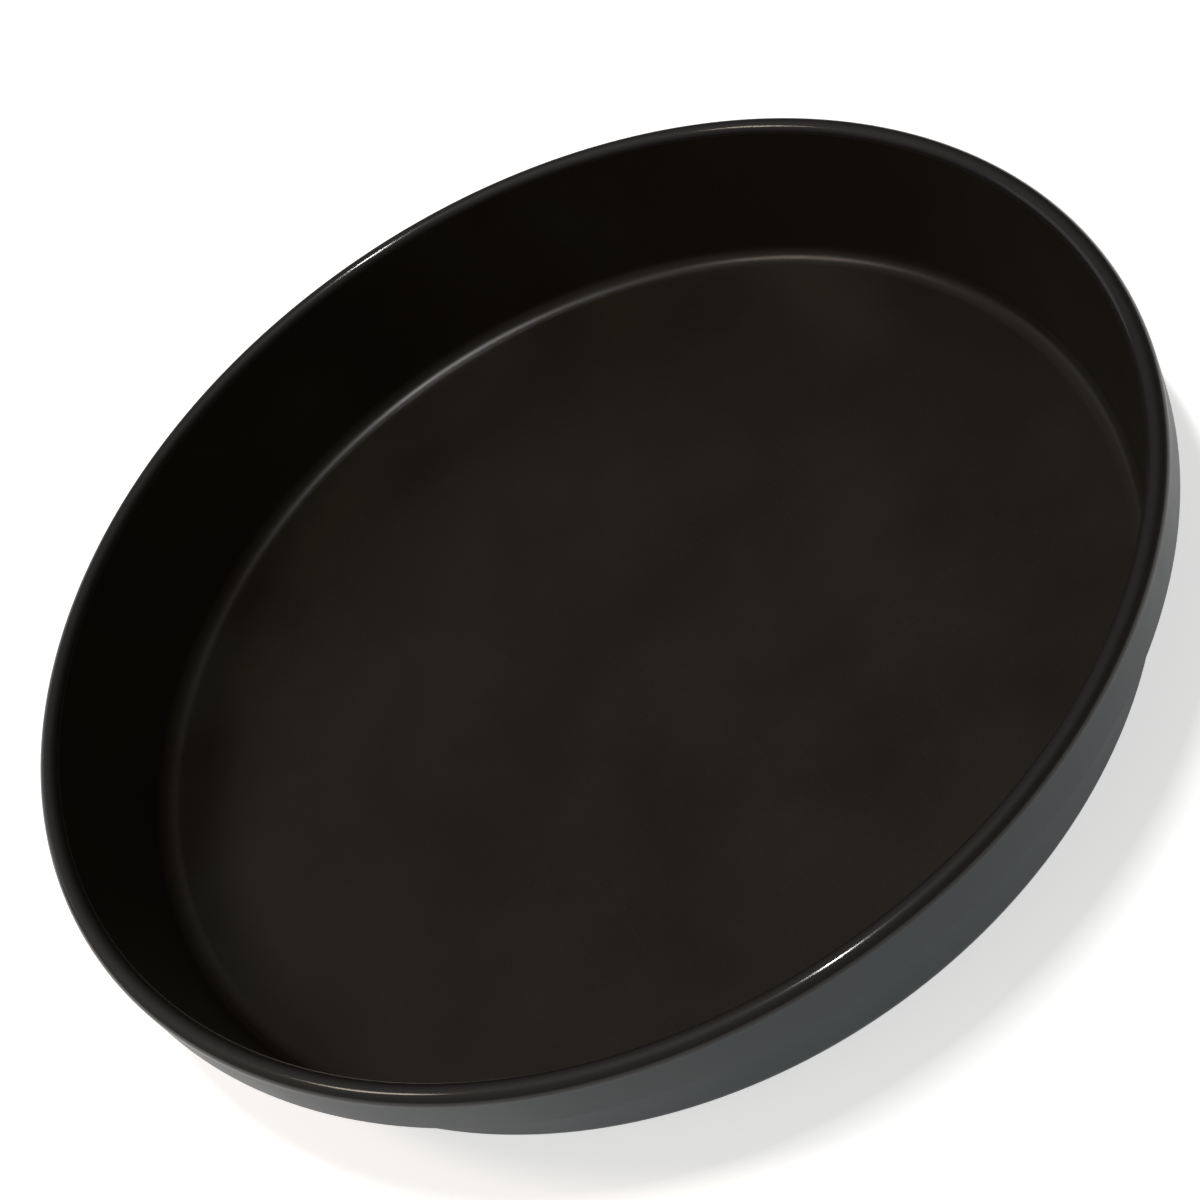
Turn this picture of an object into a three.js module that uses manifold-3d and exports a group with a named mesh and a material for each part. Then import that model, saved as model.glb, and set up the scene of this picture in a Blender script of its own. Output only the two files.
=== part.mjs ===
// Microwave crisp plate: a pressed round pan with a turned-down rim, a release lining on the food side,
// a ferrite-loaded rubber layer bonded under the floor, and silicone feet pegged into that layer.
// Millimetres, +Z up. The origin is the centre of the plane that the feet stand on.

import * as THREE from 'three';
import { mergeVertices } from 'three/addons/utils/BufferGeometryUtils.js';
import Module from 'manifold-3d';

// Pan: pressed from one sheet, with its edge bent over outwards so that a lip hangs down round the wall
const RIM_DIAMETER = 250;
const PAN_HEIGHT = 37.5;
const WALL_FLARE_DEG = 10;
const SHEET_THICKNESS = 1.2;
const CORNER_RADIUS = 4.5;
const RIM_BEND_RADIUS = 1;
const LIP_DROP = 8.5;

// Release lining on the food side
const LINING_THICKNESS = 0.15;
const LINING_STANDOFF = 0.02;

// Ferrite rubber layer under the floor
const LAYER_THICKNESS = 2.5;
const LAYER_EDGE_INSET = 4.5;
const LAYER_EDGE_CHAMFER = 0.6;
const GROOVE_COUNT = 3;
const GROOVE_WIDTH = 2.4;
const GROOVE_DEPTH = 0.8;

// Feet
const FOOT_COUNT = 6;
const FOOT_DIAMETER = 16;
const FOOT_HEIGHT = 2;
const FOOT_EDGE_RADIUS = 1.2;
const FOOT_EDGE_MARGIN = 8;
const PEG_DIAMETER = 7;
const PEG_TIP_CHAMFER = 0.5;
const PEG_CLEARANCE = 0.3;

// Facets of the round forms
const PAN_FACETS = 64;
const FOOT_FACETS = 24;
const CORNER_STEPS = 6;
const RIM_OUTSIDE_STEPS = 12;
const RIM_INSIDE_STEPS = 8;
const FOOT_EDGE_STEPS = 3;

// How near two vertices count as one, and how far a cutter runs past the faces that it cuts
const MERGE_DISTANCE = 1e-4;
const CUTTER_OVERRUN = 1;

// Places worked out from the driving dimensions. The wall leans out by the flare angle, so its
// outward normal lies that far below the horizontal, and both pan fillets share one centre.
const flare = THREE.MathUtils.degToRad(WALL_FLARE_DEG);
const rimRadius = RIM_BEND_RADIUS + SHEET_THICKNESS;
const rim = new THREE.Vector2(RIM_DIAMETER / 2 - rimRadius, PAN_HEIGHT - rimRadius);
const wallTop = new THREE.Vector2(-Math.cos(flare), Math.sin(flare)).multiplyScalar(rimRadius).add(rim);
const cornerHeight = SHEET_THICKNESS + CORNER_RADIUS;
const cornerSetback = (CORNER_RADIUS + (wallTop.y - cornerHeight) * Math.sin(flare)) / Math.cos(flare);
const corner = new THREE.Vector2(wallTop.x - cornerSetback, cornerHeight);
const layerRadius = corner.x - LAYER_EDGE_INSET;
const footCircleRadius = layerRadius - FOOT_EDGE_MARGIN - FOOT_DIAMETER / 2;
const grooveFieldRadius = footCircleRadius - FOOT_DIAMETER / 2;
const pegHoleRadius = PEG_DIAMETER / 2 + PEG_CLEARANCE;

const wasm = await Module();
wasm.setup();

/** Points of an arc in the profile plane, ends included, with angles from outwards towards up. */
function arcPoints(centre, radius, fromAngle, toAngle, steps) {
  const pointAt = (step) => {
    const angle = fromAngle + ((toAngle - fromAngle) * step) / steps;
    return new THREE.Vector2(centre.x + radius * Math.cos(angle), centre.y + radius * Math.sin(angle));
  };
  return Array.from({ length: steps + 1 }, (_, step) => pointAt(step));
}

/** A solid turned about Z from a profile of (radius, height) points that runs anticlockwise. */
function turned(profile, facets) {
  return new THREE.LatheGeometry(profile, facets).rotateX(Math.PI / 2);
}

/** The pan's corner at a distance above its food face, or below it where the distance is negative. */
function cornerPoints(rise) {
  return arcPoints(corner, CORNER_RADIUS - rise, -Math.PI / 2, -flare, CORNER_STEPS);
}

/** The pan's wall top at a distance inside its food face. */
function wallTopPoint(rise) {
  return new THREE.Vector2(-Math.cos(flare), Math.sin(flare)).multiplyScalar(rise).add(wallTop);
}

/** Sheet pan from the underside's centre out, up the wall, over into the lip and back on the food side. */
function panShellGeometry() {
  const bendStart = Math.PI - flare;
  const lipEnd = rim.y - LIP_DROP;
  const profile = [
    new THREE.Vector2(0, 0),
    ...cornerPoints(-SHEET_THICKNESS),
    ...arcPoints(rim, RIM_BEND_RADIUS, bendStart, 0, RIM_INSIDE_STEPS),
    new THREE.Vector2(rim.x + RIM_BEND_RADIUS, lipEnd),
    new THREE.Vector2(rim.x + rimRadius, lipEnd),
    ...arcPoints(rim, rimRadius, 0, bendStart, RIM_OUTSIDE_STEPS),
    ...cornerPoints(0).reverse(),
    new THREE.Vector2(0, SHEET_THICKNESS),
  ];
  return turned(profile, PAN_FACETS);
}

/** Thin lining that follows the floor, the corner and the wall up to the foot of the rim's bend. */
function liningGeometry() {
  const backRise = LINING_STANDOFF;
  const faceRise = LINING_STANDOFF + LINING_THICKNESS;
  const profile = [
    new THREE.Vector2(0, SHEET_THICKNESS + backRise),
    ...cornerPoints(backRise),
    wallTopPoint(backRise),
    wallTopPoint(faceRise),
    ...cornerPoints(faceRise).reverse(),
    new THREE.Vector2(0, SHEET_THICKNESS + faceRise),
  ];
  return turned(profile, PAN_FACETS);
}

/** One moulded groove in the layer's underside, from its inner edge to its outer edge. */
function groovePoints(radius) {
  const halfMouth = GROOVE_WIDTH / 2;
  const halfFloor = GROOVE_WIDTH / 4;
  return [
    new THREE.Vector2(radius - halfMouth, 0),
    new THREE.Vector2(radius - halfFloor, GROOVE_DEPTH),
    new THREE.Vector2(radius + halfFloor, GROOVE_DEPTH),
    new THREE.Vector2(radius + halfMouth, 0),
  ];
}

/** Where the feet stand, evenly round the layer's margin. */
function footPlaces() {
  const placeAt = (index) => {
    const angle = (2 * Math.PI * index) / FOOT_COUNT;
    return new THREE.Vector2(footCircleRadius * Math.cos(angle), footCircleRadius * Math.sin(angle));
  };
  return Array.from({ length: FOOT_COUNT }, (_, index) => placeAt(index));
}

/** A closed geometry as a solid for cutting, without the flat triangles that a lathe leaves on its axis. */
function toSolid(geometry) {
  const bare = geometry.clone();
  bare.deleteAttribute('normal');
  bare.deleteAttribute('uv');
  const merged = mergeVertices(bare, MERGE_DISTANCE);
  const index = merged.index.array;
  const triangles = [];
  for (let first = 0; first < index.length; first += 3) {
    const [a, b, c] = index.slice(first, first + 3);
    if (a !== b && b !== c && c !== a) {
      triangles.push(a, b, c);
    }
  }
  const vertProperties = Float32Array.from(merged.attributes.position.array);
  const triVerts = Uint32Array.from(triangles);
  return new wasm.Manifold(new wasm.Mesh({ numProp: 3, vertProperties, triVerts }));
}

/** A cut solid as a geometry again. */
function toGeometry(solid) {
  const mesh = solid.getMesh();
  const geometry = new THREE.BufferGeometry();
  geometry.setAttribute('position', new THREE.BufferAttribute(mesh.vertProperties, 3));
  geometry.setIndex(new THREE.BufferAttribute(mesh.triVerts, 1));
  geometry.computeVertexNormals();
  return geometry;
}

/** Rubber disc with concentric grooves underneath and a hole right through for each foot's peg. */
function layerGeometry() {
  const groovePitch = grooveFieldRadius / (GROOVE_COUNT + 1);
  const grooves = Array.from({ length: GROOVE_COUNT }, (_, index) => groovePoints(groovePitch * (index + 1)));
  const profile = [
    new THREE.Vector2(0, 0),
    ...grooves.flat(),
    new THREE.Vector2(layerRadius - LAYER_EDGE_CHAMFER, 0),
    new THREE.Vector2(layerRadius, LAYER_EDGE_CHAMFER),
    new THREE.Vector2(layerRadius, LAYER_THICKNESS),
    new THREE.Vector2(0, LAYER_THICKNESS),
  ];
  let disc = toSolid(turned(profile, PAN_FACETS));
  const cutterHeight = LAYER_THICKNESS + 2 * CUTTER_OVERRUN;
  for (const place of footPlaces()) {
    const cutter = new THREE.CylinderGeometry(pegHoleRadius, pegHoleRadius, cutterHeight, FOOT_FACETS);
    cutter.rotateX(Math.PI / 2);
    cutter.translate(place.x, place.y, LAYER_THICKNESS / 2);
    disc = disc.subtract(toSolid(cutter));
  }
  return toGeometry(disc);
}

/** Foot with a rounded lower edge, and a peg that stops short of the pan's underside. */
function footGeometry() {
  const radius = FOOT_DIAMETER / 2;
  const pegRadius = PEG_DIAMETER / 2;
  const edgeRadius = Math.min(FOOT_EDGE_RADIUS, FOOT_HEIGHT / 2);
  const edgeCentre = new THREE.Vector2(radius - edgeRadius, edgeRadius);
  const pegTop = FOOT_HEIGHT + LAYER_THICKNESS - PEG_CLEARANCE;
  const profile = [
    new THREE.Vector2(0, 0),
    ...arcPoints(edgeCentre, edgeRadius, -Math.PI / 2, 0, FOOT_EDGE_STEPS),
    new THREE.Vector2(radius, FOOT_HEIGHT),
    new THREE.Vector2(pegRadius, FOOT_HEIGHT),
    new THREE.Vector2(pegRadius, pegTop - PEG_TIP_CHAMFER),
    new THREE.Vector2(pegRadius - PEG_TIP_CHAMFER, pegTop),
    new THREE.Vector2(0, pegTop),
  ];
  return turned(profile, FOOT_FACETS);
}

/** A named mesh with a finish of its own. */
function piece(name, geometry, finish) {
  const mesh = new THREE.Mesh(geometry, new THREE.MeshStandardMaterial(finish));
  mesh.name = name;
  return mesh;
}

const COATED_METAL = { color: 0x3f474b, roughness: 0.42, metalness: 0.35 };
const RELEASE_COAT = { color: 0x1d1a18, roughness: 0.3, metalness: 0.0 };
const FERRITE_RUBBER = { color: 0x2b2726, roughness: 0.75, metalness: 0.0 };
const SILICONE = { color: 0x26282a, roughness: 0.6, metalness: 0.0 };

const pan = new THREE.Group();
pan.position.z = FOOT_HEIGHT + LAYER_THICKNESS;
pan.add(piece('pan_shell', panShellGeometry(), COATED_METAL));
pan.add(piece('nonstick_lining', liningGeometry(), RELEASE_COAT));

const base = new THREE.Group();
const layer = piece('ferrite_layer', layerGeometry(), FERRITE_RUBBER);
layer.position.z = FOOT_HEIGHT;
base.add(layer);
footPlaces().forEach((place, index) => {
  const foot = piece(`foot_${index + 1}`, footGeometry(), SILICONE);
  foot.position.set(place.x, place.y, 0);
  base.add(foot);
});

const plate = new THREE.Group();
plate.add(pan, base);

export default plate;
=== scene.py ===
"""Microwave crisp plate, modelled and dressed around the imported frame.

The pan is pressed from one sheet, with its edge bent over outwards into a hanging lip. A release lining
covers the food side. A ferrite rubber layer is bonded underneath, and silicone feet are pegged into it.
Every length is in metres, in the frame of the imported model.
"""

import logging
import math
from dataclasses import dataclass
from enum import Enum

import bpy
from bpy.types import Material, Node, NodeInputs, NodeOutputs, NodeSocket, NodeTree, Object
from mathutils import Matrix, Vector

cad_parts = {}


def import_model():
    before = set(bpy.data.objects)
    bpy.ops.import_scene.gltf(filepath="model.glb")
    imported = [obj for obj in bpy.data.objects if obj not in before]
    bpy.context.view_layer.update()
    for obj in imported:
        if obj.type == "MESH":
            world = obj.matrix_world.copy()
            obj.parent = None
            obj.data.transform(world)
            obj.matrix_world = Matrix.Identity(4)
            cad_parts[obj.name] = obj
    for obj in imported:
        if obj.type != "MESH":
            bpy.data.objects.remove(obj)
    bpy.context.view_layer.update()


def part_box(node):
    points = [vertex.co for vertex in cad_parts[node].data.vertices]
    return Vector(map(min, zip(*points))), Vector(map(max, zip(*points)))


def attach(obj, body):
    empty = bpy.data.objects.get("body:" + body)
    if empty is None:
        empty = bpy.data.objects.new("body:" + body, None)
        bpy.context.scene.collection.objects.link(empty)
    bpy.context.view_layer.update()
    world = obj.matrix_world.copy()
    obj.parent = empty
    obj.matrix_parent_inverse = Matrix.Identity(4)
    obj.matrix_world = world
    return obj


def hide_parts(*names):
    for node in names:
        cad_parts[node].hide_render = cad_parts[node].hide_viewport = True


LOG = logging.getLogger("crisp_plate")
BODY = "root"
MM = 0.001
QUARTER_TURN = math.radians(90.0)

# Points nearer than this are one point, and edges that bend more than this stay sharp
WELD_DISTANCE = 0.001 * MM
CREASE = math.radians(30.0)

# Circle that a profile is swept along; the profile is set back by its radius
LATHE_RADIUS = 0.1


class Slot(Enum):
    """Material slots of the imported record."""

    OUTER_COAT = "outer_coat"
    RELEASE_LINING = "release_lining"
    FERRITE_RUBBER = "ferrite_rubber"
    SILICONE = "silicone"


class TreeKind(Enum):
    """Kinds of node tree that this script writes."""

    GEOMETRY = "GeometryNodeTree"
    SHADER = "ShaderNodeTree"


class Socket(Enum):
    """Kinds of socket on the interface of a node group."""

    GEOMETRY = "NodeSocketGeometry"
    NUMBER = "NodeSocketFloat"
    COUNT = "NodeSocketInt"
    PLACE = "NodeSocketVector"
    COLOUR = "NodeSocketColor"
    FINISH = "NodeSocketMaterial"

    def named(self, *labels: str) -> dict[str, "Socket"]:
        """Gives several labels this kind of socket."""
        return {label: self for label in labels}


class Noise(Enum):
    """Kinds of fractal noise, by detail and roughness."""

    RIPPLE = (1.0, 0.4)
    GRAIN = (2.0, 0.5)
    CLOUD = (4.0, 0.55)
    STROKE = (2.0, 0.6)


Colour = tuple[float, float, float]
Feed = NodeSocket | Material | tuple[float, ...] | Vector | float | int | bool


def opaque(colour: Colour) -> tuple[float, float, float, float]:
    """Gives a colour its full alpha."""
    return (*colour, 1.0)


class TreeWriter:
    """Writes one node tree: adds nodes, fills their inputs and links them."""

    def __init__(self, tree: NodeTree) -> None:
        """Takes up a tree.

        Args:
            tree: The tree to write in.
        """
        self.tree = tree
        self.inputs: NodeOutputs | None = None
        self.outputs: NodeInputs | None = None

    @classmethod
    def group(
        cls, name: str, kind: TreeKind, inputs: dict[str, Socket], outputs: dict[str, Socket]
    ) -> "TreeWriter":
        """Makes a node group with a named interface.

        Args:
            name: Name of the group.
            kind: Geometry or shader.
            inputs: Input names and what each one carries.
            outputs: Output names and what each one carries.

        Returns:
            A writer whose inputs and outputs are the group's own sockets.
        """
        tree = bpy.data.node_groups.new(name, kind.value)
        for direction, sockets in (("INPUT", inputs), ("OUTPUT", outputs)):
            for label, socket in sockets.items():
                tree.interface.new_socket(label, in_out=direction, socket_type=socket.value)
        writer = cls(tree)
        writer.inputs = tree.nodes.new("NodeGroupInput").outputs
        writer.outputs = tree.nodes.new("NodeGroupOutput").inputs
        return writer

    def feed(self, socket: NodeSocket, value: Feed) -> None:
        """Links a socket to another one, or sets its own value.

        Args:
            socket: The input to fill.
            value: Another socket, or a plain value.
        """
        if isinstance(value, NodeSocket):
            self.tree.links.new(value, socket)
        else:
            socket.default_value = value

    def node(self, kind: str, inputs: dict[str | int, Feed] | None = None, **options: object) -> Node:
        """Adds a node.

        Args:
            kind: Blender's name of the node type.
            inputs: Input names or positions, and what feeds each one.
            **options: Properties of the node, set before its inputs.

        Returns:
            The new node.
        """
        made = self.tree.nodes.new(kind)
        for option, value in options.items():
            setattr(made, option, value)
        for key, value in (inputs or {}).items():
            self.feed(made.inputs[key], value)
        return made

    def use(self, group: NodeTree, inputs: dict[str, Feed]) -> NodeOutputs:
        """Places a node group.

        Args:
            group: The group.
            inputs: Input names and what feeds each one.

        Returns:
            The outputs of the placed group.
        """
        is_shader = group.bl_idname == TreeKind.SHADER.value
        kind = "ShaderNodeGroup" if is_shader else "GeometryNodeGroup"
        return self.node(kind, inputs, node_tree=group).outputs

    def math(self, operation: str, first: Feed, second: Feed = 0.0) -> NodeSocket:
        """Works out one operation on two numbers."""
        return self.node("ShaderNodeMath", {0: first, 1: second}, operation=operation).outputs[0]

    def spread(self, value: Feed, start: Feed, end: Feed, low: Feed = 0.0, high: Feed = 1.0) -> NodeSocket:
        """Maps a range of a value onto another range.

        Args:
            value: The value.
            start: Where its range starts.
            end: Where its range ends.
            low: Result at the start and before it.
            high: Result at the end and past it.

        Returns:
            The result.
        """
        ranges = {"Value": value, "From Min": start, "From Max": end, "To Min": low, "To Max": high}
        return self.node("ShaderNodeMapRange", ranges).outputs["Result"]

    def blend(self, share: Feed, first: Feed, second: Feed) -> NodeSocket:
        """Mixes two colours.

        Args:
            share: Share of the second colour.
            first: Colour at a share of 0.
            second: Colour at a share of 1.

        Returns:
            The mixed colour.
        """
        mix = self.node("ShaderNodeMix", data_type="RGBA")
        inputs = {socket.identifier: socket for socket in mix.inputs}
        outputs = {socket.identifier: socket for socket in mix.outputs}
        self.feed(inputs["Factor_Float"], share)
        self.feed(inputs["A_Color"], first)
        self.feed(inputs["B_Color"], second)
        return outputs["Result_Color"]

    def place(self, radius: Feed, height: Feed) -> NodeSocket:
        """Gives a point of a profile, with its radius along X and its height along Y."""
        return self.node("ShaderNodeCombineXYZ", {"X": radius, "Y": height}).outputs[0]

    def line(self, start: Feed, end: Feed) -> NodeSocket:
        """Draws a straight stretch of a profile."""
        return self.node("GeometryNodeCurvePrimitiveLine", {"Start": start, "End": end}).outputs["Curve"]

    def arc(self, centre: Feed, radius: Feed, start: Feed, sweep: Feed, steps: int) -> NodeSocket:
        """Draws a round stretch of a profile.

        Args:
            centre: Centre of the arc.
            radius: Radius of the arc.
            start: Angle where it starts, from outwards towards up.
            sweep: Angle that it turns through, negative for clockwise.
            steps: Number of straight steps in the arc.

        Returns:
            The arc as a curve.
        """
        sizes = {"Resolution": steps + 1, "Radius": radius, "Start Angle": start, "Sweep Angle": sweep}
        drawn = self.node("GeometryNodeCurveArc", sizes, mode="RADIUS").outputs["Curve"]
        return self.moved(drawn, centre)

    def moved(self, geometry: Feed, offset: Feed) -> NodeSocket:
        """Moves geometry by an offset."""
        return self.node("GeometryNodeTransform", {"Geometry": geometry, "Translation": offset}).outputs[0]

    def joined(self, *pieces: NodeSocket) -> NodeSocket:
        """Joins pieces of geometry in their order.

        Args:
            *pieces: The pieces.

        Returns:
            One geometry.
        """
        join = self.node("GeometryNodeJoinGeometry")
        for piece in reversed(pieces):
            self.tree.links.new(piece, join.inputs[0])
        return join.outputs[0]

    def welded(self, geometry: Feed) -> NodeSocket:
        """Merges points that lie on each other."""
        sizes = {"Geometry": geometry, "Distance": WELD_DISTANCE}
        return self.node("GeometryNodeMergeByDistance", sizes).outputs[0]

    def finished(self, geometry: Feed, finish: Feed) -> None:
        """Ends a geometry tree: marks creases, realizes instances and sets the finish.

        Args:
            geometry: The finished shape.
            finish: Material of the piece.
        """
        smooth = self.node("GeometryNodeSetShadeSmooth", {"Geometry": geometry}, domain="FACE")
        angle = self.node("GeometryNodeInputMeshEdgeAngle").outputs["Unsigned Angle"]
        is_crease = self.math("GREATER_THAN", angle, CREASE)
        creases = {"Geometry": smooth.outputs[0], "Selection": is_crease, "Shade Smooth": False}
        creased = self.node("GeometryNodeSetShadeSmooth", creases, domain="EDGE")
        realized = self.node("GeometryNodeRealizeInstances", {"Geometry": creased.outputs[0]})
        coated = {"Geometry": realized.outputs[0], "Material": finish}
        self.feed(self.outputs["Geometry"], self.node("GeometryNodeSetMaterial", coated).outputs[0])


def turning_group() -> NodeTree:
    """Writes the group that turns a profile of joined curves about the Z axis.

    The face that it makes looks to the left of the profile's course, so a profile that runs outwards
    along a floor gives a face that looks up.

    Returns:
        The geometry node group.
    """
    inputs = {"Profile": Socket.GEOMETRY, "Facets": Socket.COUNT}
    writer = TreeWriter.group("turn_about_axis", TreeKind.GEOMETRY, inputs, {"Mesh": Socket.GEOMETRY})
    edges = writer.node("GeometryNodeCurveToMesh", {"Curve": writer.inputs["Profile"]}).outputs[0]
    chain = writer.node("GeometryNodeMeshToCurve", {"Mesh": writer.welded(edges)}).outputs[0]
    on_lathe = {"Geometry": chain, "Translation": (-LATHE_RADIUS, 0.0, 0.0), "Scale": (1.0, -1.0, 1.0)}
    placed = writer.node("GeometryNodeTransform", on_lathe).outputs[0]
    circle = {"Resolution": writer.inputs["Facets"], "Radius": LATHE_RADIUS}
    path = writer.node("GeometryNodeCurvePrimitiveCircle", circle, mode="RADIUS").outputs["Curve"]
    swept = writer.node("GeometryNodeCurveToMesh", {"Curve": path, "Profile Curve": placed}).outputs[0]
    writer.feed(writer.outputs["Mesh"], writer.welded(swept))
    return writer.tree


def grown(name: str, tree: NodeTree, values: dict[str, Feed]) -> Object:
    """Runs a geometry tree and keeps its result as a plain mesh.

    Args:
        name: Name of the piece.
        tree: Geometry tree with named inputs.
        values: Input names and their values.

    Returns:
        The piece, with no modifiers left on it.
    """
    piece = bpy.data.objects.new(name, bpy.data.meshes.new(name + "_blank"))
    bpy.context.scene.collection.objects.link(piece)
    modifier = piece.modifiers.new("shape", "NODES")
    modifier.node_group = tree
    sockets = [item for item in tree.interface.items_tree if item.in_out == "INPUT"]
    identifiers = {socket.name: socket.identifier for socket in sockets}
    for label, value in values.items():
        modifier[identifiers[label]] = value
    piece.modifiers.new("even_shading", "WEIGHTED_NORMAL").keep_sharp = True
    evaluated = piece.evaluated_get(bpy.context.evaluated_depsgraph_get())
    mesh = bpy.data.meshes.new_from_object(evaluated)
    mesh.name = name
    piece.modifiers.clear()
    piece.data = mesh
    return piece


class SurfaceEffects:
    """Shader groups that several finishes share."""

    # Range of the noise over which a patch goes from its low colour to its high one
    patch_start: float = 0.32
    patch_end: float = 0.68

    # Distance from a grain's middle at which it fades out, and within which it is full
    fleck_edge: float = 0.35
    fleck_core: float = 0.15

    def __init__(self) -> None:
        """Writes each group once."""
        self.peel = self.peel_group()
        self.drift = self.drift_group()
        self.flecks = self.flecks_group()
        self.scuffs = self.scuffs_group()

    @staticmethod
    def noise(writer: TreeWriter, place: Feed, scale: Feed, kind: Noise) -> NodeSocket:
        """Adds fractal noise.

        Args:
            writer: Writer of the group's tree.
            place: Coordinates.
            scale: Scale per metre.
            kind: Detail and roughness of the noise.

        Returns:
            The noise's value.
        """
        detail, roughness = kind.value
        inputs = {"Vector": place, "Scale": scale, "Detail": detail, "Roughness": roughness}
        return writer.node("ShaderNodeTexNoise", inputs).outputs[0]

    def peel_group(self) -> NodeTree:
        """Writes the skin of a sprayed or moulded surface: soft ripples with a finer grain on them.

        Returns:
            The shader group.
        """
        inputs = {
            "Place": Socket.PLACE,
            **Socket.NUMBER.named("Ripple Scale", "Grain Scale", "Grain Share"),
        }
        writer = TreeWriter.group("skin_peel", TreeKind.SHADER, inputs, {"Height": Socket.NUMBER})
        ripple = self.noise(writer, writer.inputs["Place"], writer.inputs["Ripple Scale"], Noise.RIPPLE)
        grain = self.noise(writer, writer.inputs["Place"], writer.inputs["Grain Scale"], Noise.GRAIN)
        fine = writer.math("MULTIPLY", grain, writer.inputs["Grain Share"])
        writer.feed(writer.outputs["Height"], writer.math("ADD", ripple, fine))
        return writer.tree

    def drift_group(self) -> NodeTree:
        """Writes the slow change of tone over a coat, with a patch mask for its gloss.

        Returns:
            The shader group.
        """
        inputs = {
            "Place": Socket.PLACE,
            "Patch Scale": Socket.NUMBER,
            **Socket.COLOUR.named("Low Colour", "High Colour"),
        }
        outputs = {"Colour": Socket.COLOUR, "Patch": Socket.NUMBER}
        writer = TreeWriter.group("tone_drift", TreeKind.SHADER, inputs, outputs)
        cloud = self.noise(writer, writer.inputs["Place"], writer.inputs["Patch Scale"], Noise.CLOUD)
        patch = writer.spread(cloud, self.patch_start, self.patch_end)
        mixed = writer.blend(patch, writer.inputs["Low Colour"], writer.inputs["High Colour"])
        writer.feed(writer.outputs["Colour"], mixed)
        writer.feed(writer.outputs["Patch"], patch)
        return writer.tree

    def flecks_group(self) -> NodeTree:
        """Writes scattered grains, such as mica in a coat or ferrite in rubber.

        Returns:
            The shader group.
        """
        inputs = {"Place": Socket.PLACE, "Fleck Scale": Socket.NUMBER, "Cover": Socket.NUMBER}
        writer = TreeWriter.group("scattered_flecks", TreeKind.SHADER, inputs, {"Mask": Socket.NUMBER})
        cells = {"Vector": writer.inputs["Place"], "Scale": writer.inputs["Fleck Scale"]}
        voronoi = writer.node("ShaderNodeTexVoronoi", cells)
        chance = writer.node("ShaderNodeSeparateColor", {"Color": voronoi.outputs["Color"]}).outputs["Red"]
        chosen = writer.math("LESS_THAN", chance, writer.inputs["Cover"])
        core = writer.spread(voronoi.outputs["Distance"], self.fleck_edge, self.fleck_core)
        writer.feed(writer.outputs["Mask"], writer.math("MULTIPLY", chosen, core))
        return writer.tree

    def scuffs_group(self) -> NodeTree:
        """Writes hairline rub marks along one direction, broken up into short strokes.

        Returns:
            The shader group.
        """
        inputs = {**Socket.PLACE.named("Place", "Turn", "Stretch"), "Cover": Socket.NUMBER}
        writer = TreeWriter.group("hairline_scuffs", TreeKind.SHADER, inputs, {"Mask": Socket.NUMBER})
        turned = {
            "Vector": writer.inputs["Place"],
            "Rotation": writer.inputs["Turn"],
            "Scale": writer.inputs["Stretch"],
        }
        along = writer.node("ShaderNodeMapping", turned).outputs[0]
        strokes = self.noise(writer, along, 1.0, Noise.STROKE)
        start = writer.math("SUBTRACT", 1.0, writer.inputs["Cover"])
        writer.feed(writer.outputs["Mask"], writer.spread(strokes, start, 1.0))
        return writer.tree


@dataclass(frozen=True)
class Skin:
    """Relief of a surface: soft ripples with a finer grain, by scale per metre and height."""

    ripple_scale: float
    grain_scale: float
    grain_share: float
    depth: float

    @property
    def peel(self) -> dict[str, Feed]:
        """Inputs of the group that writes the skin."""
        return {
            "Ripple Scale": self.ripple_scale,
            "Grain Scale": self.grain_scale,
            "Grain Share": self.grain_share,
        }


@dataclass(frozen=True)
class RimCoat:
    """A second, glossier coat over the upper part of a surface, such as the bend of a rim."""

    start_height: float
    full_height: float
    colour: Colour
    roughness: float
    gloss_roughness: float
    gloss_ior: float

    def over(self, writer: TreeWriter, place: Feed, colour: Feed, roughness: Feed) -> dict[str, Feed]:
        """Lays the coat over a finish.

        Args:
            writer: Writer of the material's tree.
            place: Object coordinates.
            colour: Colour of the finish below.
            roughness: Roughness of the finish below.

        Returns:
            Values of the shader's inputs.
        """
        height = writer.node("ShaderNodeSeparateXYZ", {"Vector": place}).outputs["Z"]
        cover = writer.spread(height, self.start_height, self.full_height)
        return {
            "Base Color": writer.blend(cover, colour, opaque(self.colour)),
            "Roughness": writer.spread(cover, 0.0, 1.0, roughness, self.roughness),
            "Coat Weight": cover,
            "Coat Roughness": self.gloss_roughness,
            "Coat IOR": self.gloss_ior,
        }


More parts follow.
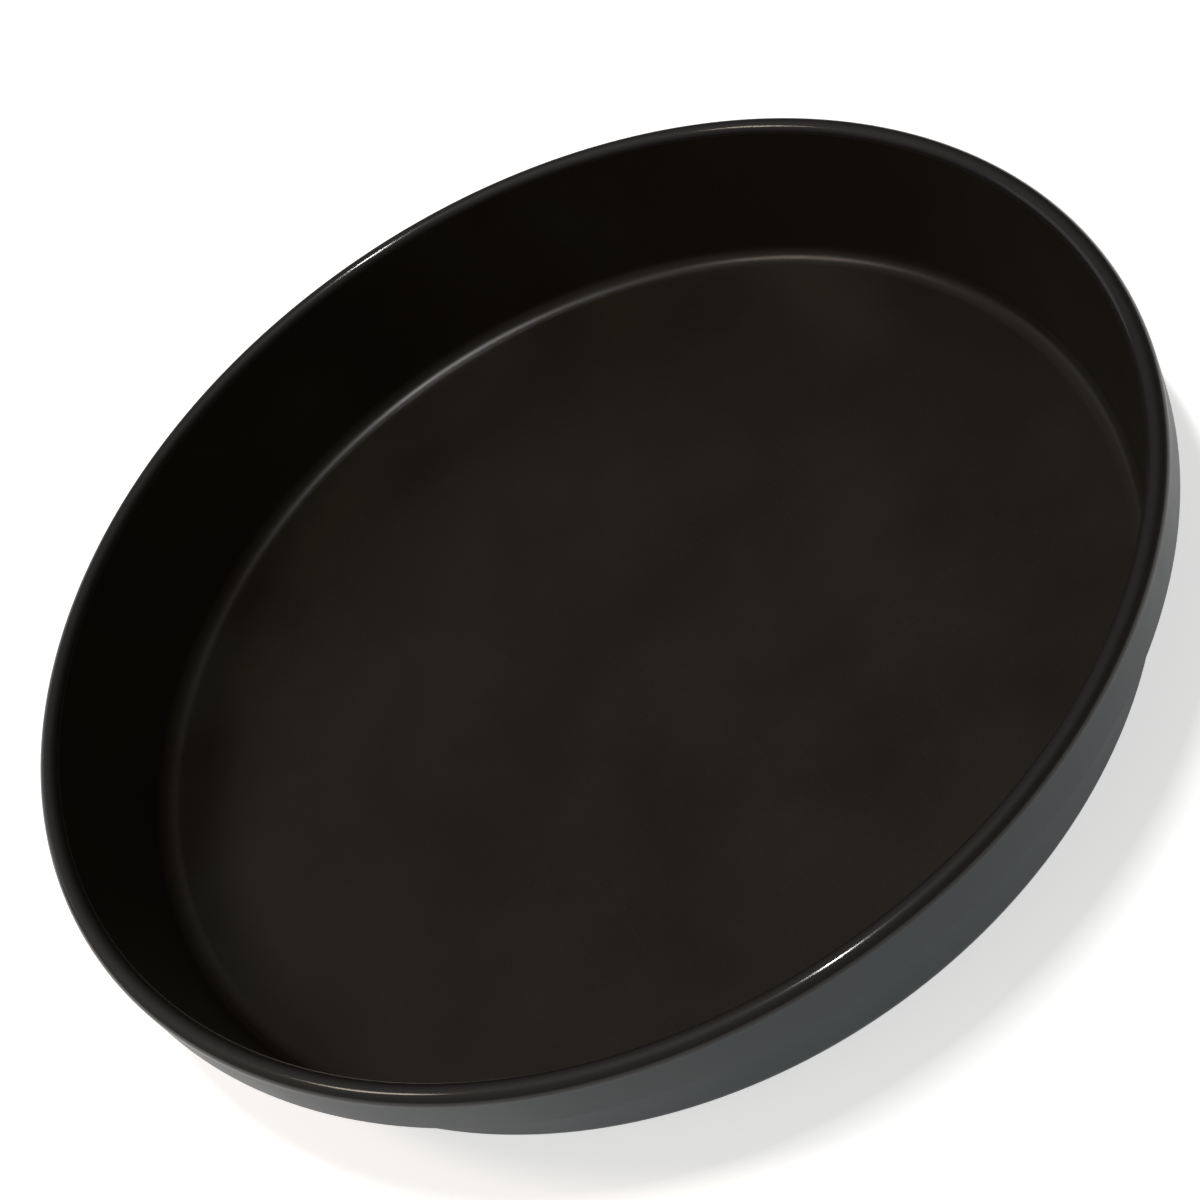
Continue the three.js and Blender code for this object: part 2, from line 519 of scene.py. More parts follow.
@dataclass(frozen=True)
class Finish:
    """A coat or moulded surface whose tone, gloss and relief change over it."""

    name: str
    low_colour: Colour
    high_colour: Colour
    patch_scale: float
    roughness: float
    roughness_spread: float
    ior: float
    skin: Skin
    fleck_colour: Colour
    fleck_scale: float
    fleck_cover: float
    fleck_strength: float
    scuff_turn: tuple[float, float, float]
    scuff_stretch: tuple[float, float, float]
    scuff_cover: float
    scuff_gloss: float
    scuff_tone: float
    rim_coat: RimCoat | None = None

    @property
    def tones(self) -> dict[str, Feed]:
        """Inputs of the group that writes the change of tone."""
        return {
            "Patch Scale": self.patch_scale,
            "Low Colour": opaque(self.low_colour),
            "High Colour": opaque(self.high_colour),
        }

    @property
    def grains(self) -> dict[str, Feed]:
        """Inputs of the group that writes the scattered grains."""
        return {"Fleck Scale": self.fleck_scale, "Cover": self.fleck_cover}

    @property
    def strokes(self) -> dict[str, Feed]:
        """Inputs of the group that writes the rub marks."""
        return {"Turn": self.scuff_turn, "Stretch": self.scuff_stretch, "Cover": self.scuff_cover}

    def material(self, effects: SurfaceEffects) -> Material:
        """Writes the finish as a material.

        Args:
            effects: The shared shader groups.

        Returns:
            The material.
        """
        material = bpy.data.materials.new(self.name)
        material.use_nodes = True
        writer = TreeWriter(material.node_tree)
        writer.tree.nodes.clear()
        place = writer.node("ShaderNodeTexCoord").outputs["Object"]
        drift = writer.use(effects.drift, {"Place": place, **self.tones})
        fleck = writer.use(effects.flecks, {"Place": place, **self.grains})["Mask"]
        scuff = writer.use(effects.scuffs, {"Place": place, **self.strokes})["Mask"]
        height = writer.use(effects.peel, {"Place": place, **self.skin.peel})["Height"]
        specks = writer.math("MULTIPLY", fleck, self.fleck_strength)
        rubbed = writer.math("MULTIPLY", scuff, self.scuff_tone)
        shown = writer.math("MAXIMUM", specks, rubbed)
        colour = writer.blend(shown, drift["Colour"], opaque(self.fleck_colour))
        gloss = self.gloss(writer, drift["Patch"], scuff)
        relief = writer.node("ShaderNodeBump", {"Height": height, "Distance": self.skin.depth})
        shader = {"Base Color": colour, "Roughness": gloss, "IOR": self.ior, "Normal": relief.outputs[0]}
        if self.rim_coat:
            shader.update(self.rim_coat.over(writer, place, colour, gloss))
        surface = writer.node("ShaderNodeBsdfPrincipled", shader).outputs[0]
        writer.node("ShaderNodeOutputMaterial", {"Surface": surface})
        return material

    def gloss(self, writer: TreeWriter, patch: Feed, scuff: Feed) -> NodeSocket:
        """Works out the roughness from the patches of tone and the rub marks.

        Args:
            writer: Writer of the material's tree.
            patch: Mask of the patches.
            scuff: Mask of the rub marks.

        Returns:
            The roughness.
        """
        low = self.roughness - self.roughness_spread
        high = self.roughness + self.roughness_spread
        base = writer.spread(patch, 0.0, 1.0, low, high)
        rubbed = writer.math("MULTIPLY", scuff, self.scuff_gloss)
        return writer.math("ADD", base, rubbed)


SATIN_COAT = Finish(
    name="satin_outer_coat",
    low_colour=(0.0168, 0.0285, 0.036),
    high_colour=(0.0212, 0.0345, 0.044),
    patch_scale=38.0,
    roughness=0.38,
    roughness_spread=0.03,
    ior=1.35,
    skin=Skin(ripple_scale=700.0, grain_scale=3200.0, grain_share=0.35, depth=0.012 * MM),
    fleck_colour=(0.05, 0.055, 0.06),
    fleck_scale=2600.0,
    fleck_cover=0.10,
    fleck_strength=0.5,
    scuff_turn=(0.0, 0.0, 0.0),
    scuff_stretch=(60.0, 60.0, 2600.0),
    scuff_cover=0.30,
    scuff_gloss=0.10,
    scuff_tone=0.5,
    rim_coat=RimCoat(
        start_height=39.6 * MM,
        full_height=40.15 * MM,
        colour=(0.0044, 0.0038, 0.0033),
        roughness=0.62,
        gloss_roughness=0.1,
        gloss_ior=1.28,
    ),
)

RELEASE_COAT = Finish(
    name="release_coat",
    low_colour=(0.0092, 0.0066, 0.0048),
    high_colour=(0.0124, 0.0106, 0.0060),
    patch_scale=26.0,
    roughness=0.31,
    roughness_spread=0.04,
    ior=1.33,
    skin=Skin(ripple_scale=520.0, grain_scale=2400.0, grain_share=0.3, depth=0.008 * MM),
    fleck_colour=(0.034, 0.030, 0.024),
    fleck_scale=2200.0,
    fleck_cover=0.07,
    fleck_strength=0.5,
    scuff_turn=(0.0, 0.0, math.radians(28.0)),
    scuff_stretch=(2400.0, 45.0, 60.0),
    scuff_cover=0.36,
    scuff_gloss=0.12,
    scuff_tone=0.22,
)

FERRITE_RUBBER = Finish(
    name="ferrite_rubber",
    low_colour=(0.020, 0.0165, 0.0155),
    high_colour=(0.029, 0.0245, 0.023),
    patch_scale=55.0,
    roughness=0.72,
    roughness_spread=0.06,
    ior=1.43,
    skin=Skin(ripple_scale=420.0, grain_scale=1900.0, grain_share=0.8, depth=0.05 * MM),
    fleck_colour=(0.07, 0.062, 0.058),
    fleck_scale=1500.0,
    fleck_cover=0.18,
    fleck_strength=0.6,
    scuff_turn=(0.0, 0.0, math.radians(-35.0)),
    scuff_stretch=(1500.0, 40.0, 60.0),
    scuff_cover=0.36,
    scuff_gloss=-0.15,
    scuff_tone=0.3,
)

SILICONE = Finish(
    name="moulded_silicone",
    low_colour=(0.030, 0.031, 0.033),
    high_colour=(0.038, 0.039, 0.041),
    patch_scale=160.0,
    roughness=0.58,
    roughness_spread=0.05,
    ior=1.41,
    skin=Skin(ripple_scale=900.0, grain_scale=3600.0, grain_share=0.6, depth=0.02 * MM),
    fleck_colour=(0.09, 0.09, 0.09),
    fleck_scale=2600.0,
    fleck_cover=0.05,
    fleck_strength=0.5,
    scuff_turn=(0.0, 0.0, math.radians(60.0)),
    scuff_stretch=(1800.0, 120.0, 120.0),
    scuff_cover=0.34,
    scuff_gloss=0.12,
    scuff_tone=0.2,
)


class SubAssembly:
    """A group of pieces that are built and dressed together."""

    @staticmethod
    def dress(piece: Object, nodes: list[str], slot: Slot) -> None:
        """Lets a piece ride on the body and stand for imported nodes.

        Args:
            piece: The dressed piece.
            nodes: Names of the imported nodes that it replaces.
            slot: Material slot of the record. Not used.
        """
        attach(piece, BODY)
        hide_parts(*nodes)


@dataclass
class PressedPan(SubAssembly):
    """Sheet pan and the lining on its food side, both turned from one set of sizes."""

    rim_radius: float
    underside: float
    rim_height: float
    sheet: float = 1.2 * MM
    flare: float = math.radians(10.0)
    corner_radius: float = 4.5 * MM
    bend_radius: float = 1.0 * MM
    lip_drop: float = 8.5 * MM
    lining_standoff: float = 0.02 * MM
    lining_thickness: float = 0.15 * MM
    facets: int = 256
    corner_steps: int = 14
    bend_steps: int = 32

    @classmethod
    def from_frame(cls) -> "PressedPan":
        """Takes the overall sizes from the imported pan."""
        low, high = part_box("pan_shell")
        return cls(rim_radius=(high.x - low.x) / 2, underside=low.z, rim_height=high.z)

    @property
    def rim_round(self) -> float:
        """Outer radius of the rim's bend."""
        return self.bend_radius + self.sheet

    @property
    def bend_centre(self) -> Vector:
        """Middle of the rim's bend, as radius and height."""
        return Vector((self.rim_radius - self.rim_round, self.rim_height - self.rim_round, 0.0))

    @property
    def inward(self) -> Vector:
        """Direction out of the wall's food face, as radius and height."""
        return Vector((-math.cos(self.flare), math.sin(self.flare), 0.0))

    @property
    def corner_centre(self) -> Vector:
        """Middle of the corner between the floor and the wall.

        Returns:
            The place as radius and height.
        """
        wall_top = self.bend_centre + self.inward * self.rim_round
        height = self.underside + self.sheet + self.corner_radius
        rise = (wall_top.y - height) * math.sin(self.flare)
        return Vector((wall_top.x - (self.corner_radius + rise) / math.cos(self.flare), height, 0.0))

    def tree(self) -> NodeTree:
        """Writes the tree that turns a face from floor to rim and thickens it away from the food side.

        Returns:
            The geometry tree.
        """
        inputs = {
            **Socket.PLACE.named("Floor Centre", "Floor Edge", "Corner Centre", "Wall Foot", "Wall Top"),
            **Socket.PLACE.named("Bend Centre", "Lip Top", "Lip End"),
            **Socket.NUMBER.named("Corner Radius", "Wall Flare", "Bend Radius", "Bend Turn", "Thickness"),
            "Facets": Socket.COUNT,
            "Finish": Socket.FINISH,
        }
        outputs = {"Geometry": Socket.GEOMETRY}
        writer = TreeWriter.group("pressed_sheet", TreeKind.GEOMETRY, inputs, outputs)
        size = writer.inputs
        floor = writer.line(size["Floor Centre"], size["Floor Edge"])
        corner_sweep = writer.math("SUBTRACT", QUARTER_TURN, size["Wall Flare"])
        corner = writer.arc(
            size["Corner Centre"], size["Corner Radius"], -QUARTER_TURN, corner_sweep, self.corner_steps
        )
        wall = writer.line(size["Wall Foot"], size["Wall Top"])
        bend_start = writer.math("SUBTRACT", math.pi, size["Wall Flare"])
        bend_sweep = writer.math("MULTIPLY", size["Bend Turn"], -1.0)
        bend = writer.arc(size["Bend Centre"], size["Bend Radius"], bend_start, bend_sweep, self.bend_steps)
        lip = writer.line(size["Lip Top"], size["Lip End"])
        profile = writer.joined(floor, corner, wall, bend, lip)
        face = writer.use(turning_group(), {"Profile": profile, "Facets": size["Facets"]})["Mesh"]
        behind = writer.math("MULTIPLY", size["Thickness"], -1.0)
        pushed = {"Mesh": face, "Offset Scale": behind, "Individual": False}
        back = writer.node("GeometryNodeExtrudeMesh", pushed, mode="FACES").outputs["Mesh"]
        back_face = writer.node("GeometryNodeFlipFaces", {"Mesh": back}).outputs[0]
        writer.finished(writer.welded(writer.joined(face, back_face)), size["Finish"])
        return writer.tree

    def sizes(self, rise: float, thickness: float, has_lip: bool, finish: Material) -> dict[str, Feed]:
        """Works out the tree's inputs for a face.

        Args:
            rise: Height of the face over the sheet's food face.
            thickness: Thickness behind the face.
            has_lip: Whether the face goes on over the bend and down the lip.
            finish: Material of the piece.

        Returns:
            Values by input name.
        """
        corner = self.corner_centre
        radius = self.corner_radius - rise
        floor_height = corner.y - radius
        rim_round = self.rim_round + rise
        wall_top = self.bend_centre + self.inward * rim_round
        lip_top = self.bend_centre + Vector((rim_round, 0.0, 0.0)) if has_lip else wall_top
        drop = Vector((0.0, self.lip_drop, 0.0)) if has_lip else Vector()
        return {
            "Corner Centre": corner,
            "Corner Radius": radius,
            "Floor Centre": Vector((0.0, floor_height, 0.0)),
            "Floor Edge": Vector((corner.x, floor_height, 0.0)),
            "Wall Foot": corner - self.inward * radius,
            "Wall Top": wall_top,
            "Wall Flare": self.flare,
            "Bend Centre": self.bend_centre,
            "Bend Radius": rim_round,
            "Bend Turn": math.pi - self.flare if has_lip else 0.0,
            "Lip Top": lip_top,
            "Lip End": lip_top - drop,
            "Thickness": thickness,
            "Facets": self.facets,
            "Finish": finish,
        }

    def build(self, coat: Material, lining: Material) -> list[Object]:
        """Makes the shell and its lining.

        Args:
            coat: Finish of the shell.
            lining: Finish of the food side.

        Returns:
            The two pieces.
        """
        tree = self.tree()
        shell_sizes = self.sizes(0.0, self.sheet, True, coat)
        shell = grown("pressed_pan", tree, shell_sizes)
        rise = self.lining_standoff + self.lining_thickness
        lining_sizes = self.sizes(rise, self.lining_thickness, False, lining)
        skin = grown("food_side_lining", tree, lining_sizes)
        self.dress(shell, ["pan_shell"], Slot.OUTER_COAT)
        self.dress(skin, ["nonstick_lining"], Slot.RELEASE_LINING)
        return [shell, skin]


@dataclass
class HeatingBase(SubAssembly):
    """Ferrite rubber layer under the floor, and the feet that are pegged into it."""

    layer_radius: float
    layer_bottom: float
    layer_top: float
    foot_radius: float
    foot_circle: float
    peg_top: float
    edge_chamfer: float = 0.6 * MM
    groove_count: int = 3
    groove_width: float = 2.4 * MM
    groove_depth: float = 0.8 * MM
    groove_floor_share: float = 0.5
    foot_count: int = 6
    foot_edge: float = 1.0 * MM
    peg_radius: float = 3.5 * MM
    peg_chamfer: float = 0.5 * MM
    peg_clearance: float = 0.3 * MM
    drill_reach: float = 2.0
    layer_facets: int = 192
    foot_facets: int = 64
    foot_edge_steps: int = 8

    @classmethod
    def from_frame(cls) -> "HeatingBase":
        """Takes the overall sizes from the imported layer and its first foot.

        Returns:
            The layer and feet at those sizes.
        """
        low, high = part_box("ferrite_layer")
        foot_low, foot_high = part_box("foot_1")
        return cls(
            layer_radius=(high.x - low.x) / 2,
            layer_bottom=low.z,
            layer_top=high.z,
            foot_radius=(foot_high.x - foot_low.x) / 2,
            foot_circle=(foot_high.x + foot_low.x) / 2,
            peg_top=foot_high.z,
        )

    @property
    def groove_pitch(self) -> float:
        """Distance from one groove to the next, from the middle out to the feet."""
        return (self.foot_circle - self.foot_radius) / (self.groove_count + 1)

    @property
    def foot_nodes(self) -> list[str]:
        """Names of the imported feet."""
        return [f"foot_{index + 1}" for index in range(self.foot_count)]

    def layer_tree(self) -> NodeTree:
        """Writes the tree that turns the layer and cuts its grooves and peg holes.

        Returns:
            The geometry tree.
        """
        inputs = {
            **Socket.NUMBER.named("Radius", "Bottom", "Top", "Edge Chamfer"),
            **Socket.NUMBER.named("Groove Pitch", "Groove Width", "Groove Depth"),
            **Socket.NUMBER.named("Hole Circle", "Hole Radius"),
            **Socket.COUNT.named("Groove Count", "Hole Count", "Facets"),
            "Finish": Socket.FINISH,
        }
        outputs = {"Geometry": Socket.GEOMETRY}
        writer = TreeWriter.group("grooved_layer", TreeKind.GEOMETRY, inputs, outputs)
        size = writer.inputs
        chamfer_radius = writer.math("SUBTRACT", size["Radius"], size["Edge Chamfer"])
        chamfer_height = writer.math("ADD", size["Bottom"], size["Edge Chamfer"])
        corners = [
            writer.place(0.0, size["Top"]),
            writer.place(size["Radius"], size["Top"]),
            writer.place(size["Radius"], chamfer_height),
            writer.place(chamfer_radius, size["Bottom"]),
            writer.place(0.0, size["Bottom"]),
        ]
        sides = [writer.line(start, end) for start, end in zip(corners, corners[1:])]
        outline = {"Profile": writer.joined(*sides), "Facets": size["Facets"]}
        disc = writer.use(turning_group(), outline)["Mesh"]
        cutters = writer.joined(self.groove_cutters(writer), self.hole_cutters(writer))
        cut = {"Mesh 1": disc, "Mesh 2": cutters}
        layer = writer.node("GeometryNodeMeshBoolean", cut, operation="DIFFERENCE", solver="MANIFOLD")
        writer.finished(writer.welded(layer.outputs["Mesh"]), size["Finish"])
        return writer.tree

    def groove_cutters(self, writer: TreeWriter) -> NodeSocket:
        """Adds one ring for each groove, centred on the underside and narrower towards the groove's floor.

        Args:
            writer: Writer of the layer's tree.

        Returns:
            The rings.
        """
        size = writer.inputs
        stacked = {"Count": size["Groove Count"], "Offset": (0.0, 0.0, 0.0)}
        centres = writer.node("GeometryNodeMeshLine", stacked)
        index = writer.node("GeometryNodeInputIndex").outputs[0]
        radius = writer.math("MULTIPLY", writer.math("ADD", index, 1.0), size["Groove Pitch"])
        circle = {"Resolution": size["Facets"], "Radius": 1.0}
        unit_ring = writer.node("GeometryNodeCurvePrimitiveCircle", circle, mode="RADIUS").outputs["Curve"]
        at_centres = {"Points": centres.outputs[0], "Instance": unit_ring, "Scale": radius}
        rings = writer.node("GeometryNodeInstanceOnPoints", at_centres).outputs[0]
        paths = writer.node("GeometryNodeRealizeInstances", {"Geometry": rings}).outputs[0]
        section = {
            "Height": writer.math("MULTIPLY", size["Groove Depth"], 2.0),
            "Bottom Width": writer.math("MULTIPLY", size["Groove Width"], self.groove_floor_share),
            "Top Width": writer.math("MULTIPLY", size["Groove Width"], 2.0 - self.groove_floor_share),
            "Offset": 0.0,
        }
        trapezium = writer.node("GeometryNodeCurvePrimitiveQuadrilateral", section, mode="TRAPEZOID")
        swept = {"Curve": paths, "Profile Curve": trapezium.outputs[0]}
        cutters = writer.node("GeometryNodeCurveToMesh", swept).outputs[0]
        up = writer.node("ShaderNodeCombineXYZ", {"Z": size["Bottom"]}).outputs[0]
        return writer.moved(cutters, up)

    def hole_cutters(self, writer: TreeWriter) -> NodeSocket:
        """Adds one cylinder for each peg hole.

        Args:
            writer: Writer of the layer's tree.

        Returns:
            The cylinders.
        """
        size = writer.inputs
        ring = {"Vertices": size["Hole Count"], "Radius": size["Hole Circle"]}
        places = writer.node("GeometryNodeMeshCircle", ring).outputs[0]
        thickness = writer.math("SUBTRACT", size["Top"], size["Bottom"])
        depth = writer.math("MULTIPLY", thickness, self.drill_reach)
        drill = {"Vertices": self.foot_facets, "Radius": size["Hole Radius"], "Depth": depth}
        cylinder = writer.node("GeometryNodeMeshCylinder", drill).outputs["Mesh"]
        at_places = {"Points": places, "Instance": cylinder}
        drills = writer.node("GeometryNodeInstanceOnPoints", at_places).outputs[0]
        cutters = writer.node("GeometryNodeRealizeInstances", {"Geometry": drills}).outputs[0]
        middle = writer.math("MULTIPLY", writer.math("ADD", size["Top"], size["Bottom"]), 0.5)
        return writer.moved(cutters, writer.node("ShaderNodeCombineXYZ", {"Z": middle}).outputs[0])

    def feet_tree(self) -> NodeTree:
        """Writes the tree that turns one foot with its peg and repeats it round a circle.

        Returns:
            The geometry tree.
        """
        inputs = {
            **Socket.NUMBER.named("Foot Radius", "Foot Height", "Foot Circle", "Edge Radius"),
            **Socket.NUMBER.named("Peg Radius", "Peg Top", "Peg Chamfer"),
            **Socket.COUNT.named("Foot Count", "Facets"),
            "Finish": Socket.FINISH,
        }
        outputs = {"Geometry": Socket.GEOMETRY}
        writer = TreeWriter.group("pegged_feet", TreeKind.GEOMETRY, inputs, outputs)
        size = writer.inputs
        tip_radius = writer.math("SUBTRACT", size["Peg Radius"], size["Peg Chamfer"])
        tip_height = writer.math("SUBTRACT", size["Peg Top"], size["Peg Chamfer"])
        edge_inset = writer.math("SUBTRACT", size["Foot Radius"], size["Edge Radius"])
        corners = [
            writer.place(0.0, size["Peg Top"]),
            writer.place(tip_radius, size["Peg Top"]),
            writer.place(size["Peg Radius"], tip_height),
            writer.place(size["Peg Radius"], size["Foot Height"]),
            writer.place(size["Foot Radius"], size["Foot Height"]),
            writer.place(size["Foot Radius"], size["Edge Radius"]),
        ]
        sides = [writer.line(start, end) for start, end in zip(corners, corners[1:])]
        edge_centre = writer.place(edge_inset, size["Edge Radius"])
        edge = writer.arc(edge_centre, size["Edge Radius"], 0.0, -QUARTER_TURN, self.foot_edge_steps)
        sole = writer.line(writer.place(edge_inset, 0.0), writer.place(0.0, 0.0))
        profile = writer.joined(*sides, edge, sole)
        foot = writer.use(turning_group(), {"Profile": profile, "Facets": size["Facets"]})["Mesh"]
        ring = {"Vertices": size["Foot Count"], "Radius": size["Foot Circle"]}
        places = writer.node("GeometryNodeMeshCircle", ring).outputs[0]
        feet = writer.node("GeometryNodeInstanceOnPoints", {"Points": places, "Instance": foot}).outputs[0]
        realized = writer.node("GeometryNodeRealizeInstances", {"Geometry": feet}).outputs[0]
        writer.finished(realized, size["Finish"])
        return writer.tree

    def build(self, rubber: Material, silicone: Material) -> list[Object]:
        """Makes the layer and the feet.

        Args:
            rubber: Finish of the layer.
            silicone: Finish of the feet.

        Returns:
            The two pieces.
        """
        layer_sizes = {
            "Radius": self.layer_radius,
            "Bottom": self.layer_bottom,
            "Top": self.layer_top,
            "Edge Chamfer": self.edge_chamfer,
            "Groove Count": self.groove_count,
            "Groove Pitch": self.groove_pitch,
            "Groove Width": self.groove_width,
            "Groove Depth": self.groove_depth,
            "Hole Count": self.foot_count,
            "Hole Circle": self.foot_circle,
            "Hole Radius": self.peg_radius + self.peg_clearance,
            "Facets": self.layer_facets,
            "Finish": rubber,
        }
        layer = grown("heating_layer", self.layer_tree(), layer_sizes)
        feet_sizes = {
            "Foot Radius": self.foot_radius,
            "Foot Height": self.layer_bottom,
            "Edge Radius": self.foot_edge,
            "Peg Radius": self.peg_radius,
            "Peg Top": self.peg_top,
            "Peg Chamfer": self.peg_chamfer,
            "Foot Count": self.foot_count,
            "Foot Circle": self.foot_circle,
            "Facets": self.foot_facets,
            "Finish": silicone,
        }
        feet = grown("feet", self.feet_tree(), feet_sizes)
        self.dress(layer, ["ferrite_layer"], Slot.FERRITE_RUBBER)
        self.dress(feet, self.foot_nodes, Slot.SILICONE)
        return [layer, feet]


@dataclass(frozen=True)
class Lamp:
    """A soft lamp that looks at the plate."""

    name: str
    azimuth_deg: float
    elevation_deg: float
    distance: float
    width: float
    length: float
    power: float
    colour: Colour

    def hang(self, target: Vector) -> None:
        """Hangs the lamp.

        Args:
            target: Point that it looks at.
        """
        light = bpy.data.lights.new(self.name, "AREA")
        light.shape = "RECTANGLE"
        light.size = self.width
        light.size_y = self.length
        light.energy = self.power
        light.color = self.colour
        lamp = bpy.data.objects.new(self.name, light)
        bpy.context.scene.collection.objects.link(lamp)
        azimuth = math.radians(self.azimuth_deg)
        elevation = math.radians(self.elevation_deg)
        level = math.cos(elevation)
        towards = Vector((math.sin(azimuth) * level, -math.cos(azimuth) * level, math.sin(elevation)))
        lamp.location = target + towards * self.distance
        lamp.rotation_euler = towards.to_track_quat("Z", "Y").to_euler()
        lamp.visible_camera = False


@dataclass(frozen=True)
class Studio:
    """Pale floor, soft lamps and a dim room."""

    floor_radius: float = 6.0
    floor_facets: int = 96
    floor_colour: Colour = (0.86, 0.86, 0.86)
    camera_glow: float = 0.64
    far_glow: float = 1.0
    far_start: float = 0.5
    far_end: float = 1.5
    mirror_glow: float = 0.44
    backdrop: Colour = (1.0, 1.0, 1.0)
    room_edge: float = 0.8
    horizon_level: float = 0.18
    full_height: float = 0.65
    room_left: Colour = (0.42, 0.405, 0.38)
    room_right: Colour = (0.03, 0.027, 0.024)
    lamps: tuple[Lamp, ...] = (
        Lamp(
            name="key_lamp",
            azimuth_deg=-2.0,
            elevation_deg=89.0,
            distance=1.2,
            width=0.04,
            length=0.3,
            power=6.4,
            colour=(1.0, 0.99, 0.97),
        ),
        Lamp(
            name="warm_lamp",
            azimuth_deg=-108.0,
            elevation_deg=55.0,
            distance=1.2,
            width=0.2,
            length=0.2,
            power=3.0,
            colour=(1.0, 0.84, 0.7),
        ),
        Lamp(
            name="fill_panel",
            azimuth_deg=-145.0,
            elevation_deg=14.0,
            distance=1.4,
            width=0.7,
            length=0.7,
            power=1.0,
            colour=(0.9, 0.96, 1.0),
        ),
    )

    def set_up(self, target: Vector) -> None:
        """Lays the floor and lights the plate.

        Args:
            target: Point that the lamps look at.
        """
        self.floor()
        self.room()
        for lamp in self.lamps:
            lamp.hang(target)

    def floor(self) -> None:
        """Lays a round floor under the feet."""
        mesh = bpy.data.meshes.new("floor")
        radius = self.floor_radius
        step = 2 * math.pi / self.floor_facets
        angles = [step * index for index in range(self.floor_facets)]
        rim = [(radius * math.cos(angle), radius * math.sin(angle), 0.0) for angle in angles]
        mesh.from_pydata(rim, [], [tuple(range(self.floor_facets))])
        mesh.materials.append(self.floor_material())
        floor = bpy.data.objects.new("floor", mesh)
        bpy.context.scene.collection.objects.link(floor)

    @staticmethod
    def seen_directly(writer: TreeWriter, rays: NodeOutputs) -> NodeSocket:
        """Marks the rays that come straight from the camera or through glass."""
        return writer.math("MAXIMUM", rays["Is Camera Ray"], rays["Is Transmission Ray"])

    def floor_material(self) -> Material:
        """Writes a pale matt floor that glows a little towards the camera and mirrors, and so reads white.

        Returns:
            The material.
        """
        material = bpy.data.materials.new("pale_floor")
        material.use_nodes = True
        writer = TreeWriter(material.node_tree)
        writer.tree.nodes.clear()
        rays = writer.node("ShaderNodeLightPath").outputs
        place = writer.node("ShaderNodeTexCoord").outputs["Object"]
        reach = writer.node("ShaderNodeVectorMath", {0: place}, operation="LENGTH").outputs["Value"]
        level = writer.spread(reach, self.far_start, self.far_end, self.camera_glow, self.far_glow)
        shown = writer.math("MULTIPLY", self.seen_directly(writer, rays), level)
        mirrored = writer.math("MULTIPLY", rays["Is Glossy Ray"], self.mirror_glow)
        glow = writer.math("MAXIMUM", shown, mirrored)
        matt = writer.node("ShaderNodeBsdfDiffuse", {"Color": opaque(self.floor_colour)}).outputs[0]
        emission = writer.node("ShaderNodeEmission", {"Strength": glow}).outputs[0]
        both = writer.node("ShaderNodeAddShader", {0: matt, 1: emission}).outputs[0]
        writer.node("ShaderNodeOutputMaterial", {"Surface": both})
        return material

    def room(self) -> None:
        """Gives the room a dim light that falls off to the right and to the horizon, and a white look."""
        world = bpy.data.worlds.new("dim_room")
        world.use_nodes = True
        writer = TreeWriter(world.node_tree)
        writer.tree.nodes.clear()
        direction = writer.node("ShaderNodeTexCoord").outputs["Generated"]
        parts = writer.node("ShaderNodeSeparateXYZ", {"Vector": direction}).outputs
        share = writer.spread(parts["X"], -self.room_edge, self.room_edge)
        colour = writer.blend(share, opaque(self.room_left), opaque(self.room_right))
        level = writer.spread(parts["Z"], 0.0, self.full_height, self.horizon_level)
        dim = writer.node("ShaderNodeBackground", {"Color": colour, "Strength": level}).outputs[0]
        white = writer.node("ShaderNodeBackground", {"Color": opaque(self.backdrop)}).outputs[0]
        rays = writer.node("ShaderNodeLightPath").outputs
        direct = self.seen_directly(writer, rays)
        seen = writer.node("ShaderNodeMixShader", {0: direct, 1: dim, 2: white}).outputs[0]
        writer.node("ShaderNodeOutputWorld", {"Surface": seen})
        bpy.context.scene.world = world


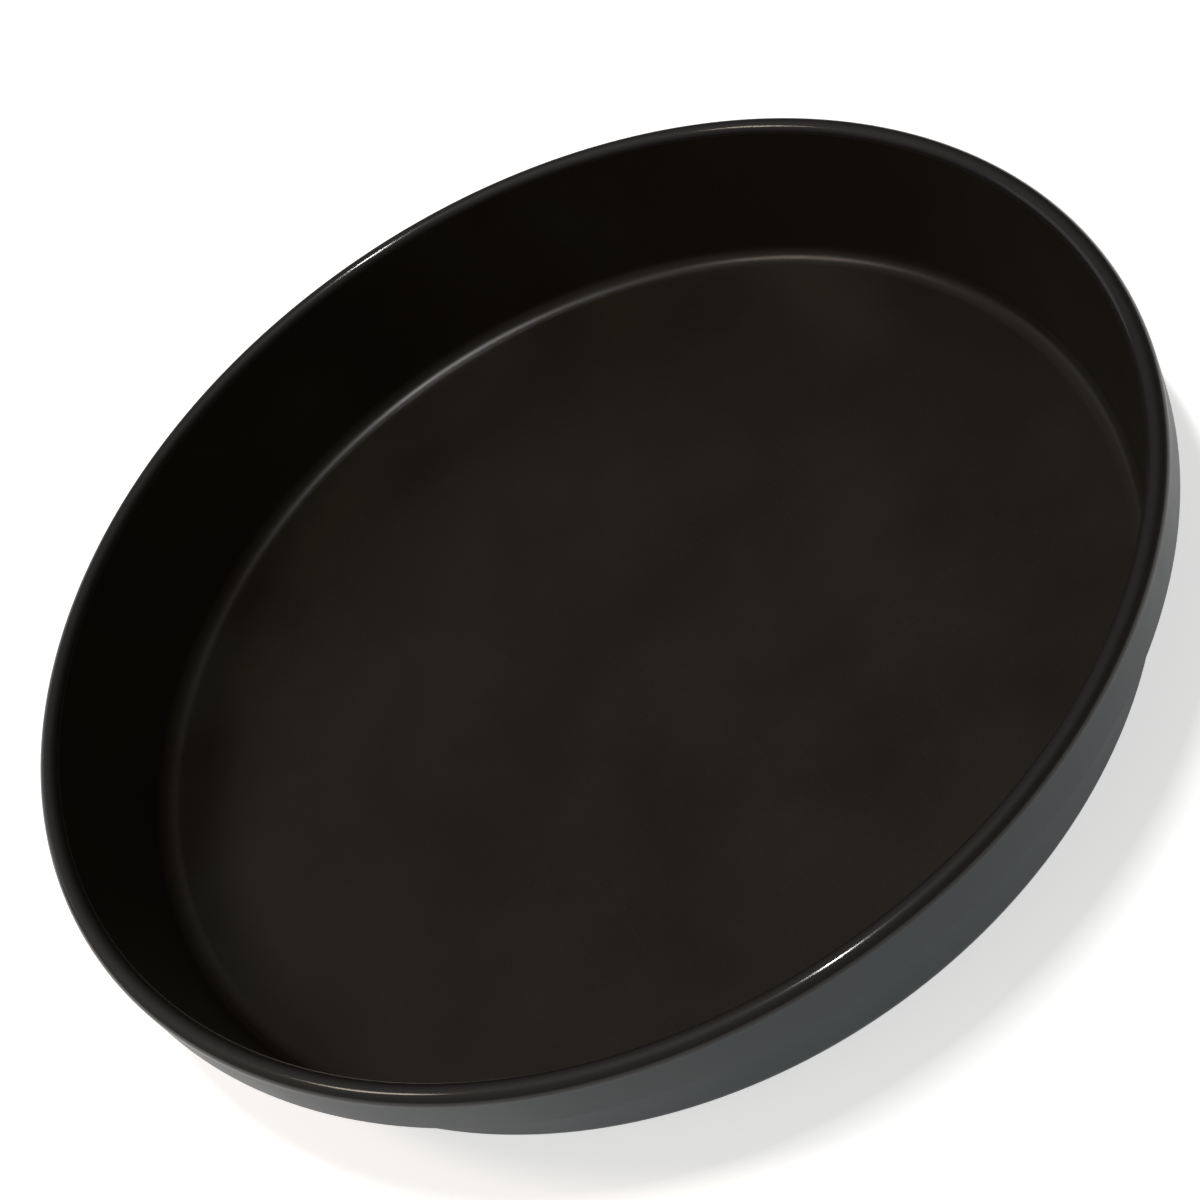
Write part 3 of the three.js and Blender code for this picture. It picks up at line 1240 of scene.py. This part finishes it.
@dataclass(frozen=True)
class PlateCamera:
    """Camera at the photograph's angle: close over the plate and turned about its own view axis."""

    distance: float = 469.38 * MM
    elevation_deg: float = 46.389
    roll_deg: float = -33.5
    aim_right: float = 0.535 * MM
    aim_back: float = 14.79 * MM
    lens_mm: float = 64.23
    sensor_mm: float = 36.0

    def set_up(self, base_height: float) -> None:
        """Makes the camera and gives it to the scene.

        Args:
            base_height: Height of the pan's underside, from which the camera's place is measured.
        """
        data = bpy.data.cameras.new("plate_camera")
        data.lens = self.lens_mm
        data.sensor_width = self.sensor_mm
        elevation = math.radians(self.elevation_deg)
        roll = math.radians(self.roll_deg)
        eye = Vector((0.0, -math.cos(elevation), math.sin(elevation))) * self.distance
        eye.z += base_height
        aim = Vector((self.aim_right, self.aim_back, base_height))
        forward = (aim - eye).normalized()
        level = forward.cross(Vector((0.0, 0.0, 1.0))).normalized()
        upright = level.cross(forward)
        right = level * math.cos(roll) + upright * math.sin(roll)
        up = upright * math.cos(roll) - level * math.sin(roll)
        camera = bpy.data.objects.new("plate_camera", data)
        bpy.context.scene.collection.objects.link(camera)
        turned = Matrix((right, up, -forward)).transposed().to_4x4()
        camera.matrix_world = Matrix.Translation(eye) @ turned
        bpy.context.scene.camera = camera


def report(pieces: list[Object]) -> None:
    """Logs the size of each piece.

    Args:
        pieces: The dressed pieces.
    """
    for piece in pieces:
        LOG.info("%s: %d faces, %s m", piece.name, len(piece.data.polygons), tuple(piece.dimensions))


def main() -> None:
    """Builds the plate, its studio and its camera in order."""
    logging.basicConfig(level=logging.INFO)
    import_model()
    bpy.context.scene.view_settings.view_transform = "Standard"
    effects = SurfaceEffects()
    pan = PressedPan.from_frame()
    report(pan.build(SATIN_COAT.material(effects), RELEASE_COAT.material(effects)))
    base = HeatingBase.from_frame()
    report(base.build(FERRITE_RUBBER.material(effects), SILICONE.material(effects)))
    PlateCamera().set_up(pan.underside)
    Studio().set_up(Vector((0.0, 0.0, pan.rim_height / 2)))


if __name__ == "__main__":
    main()
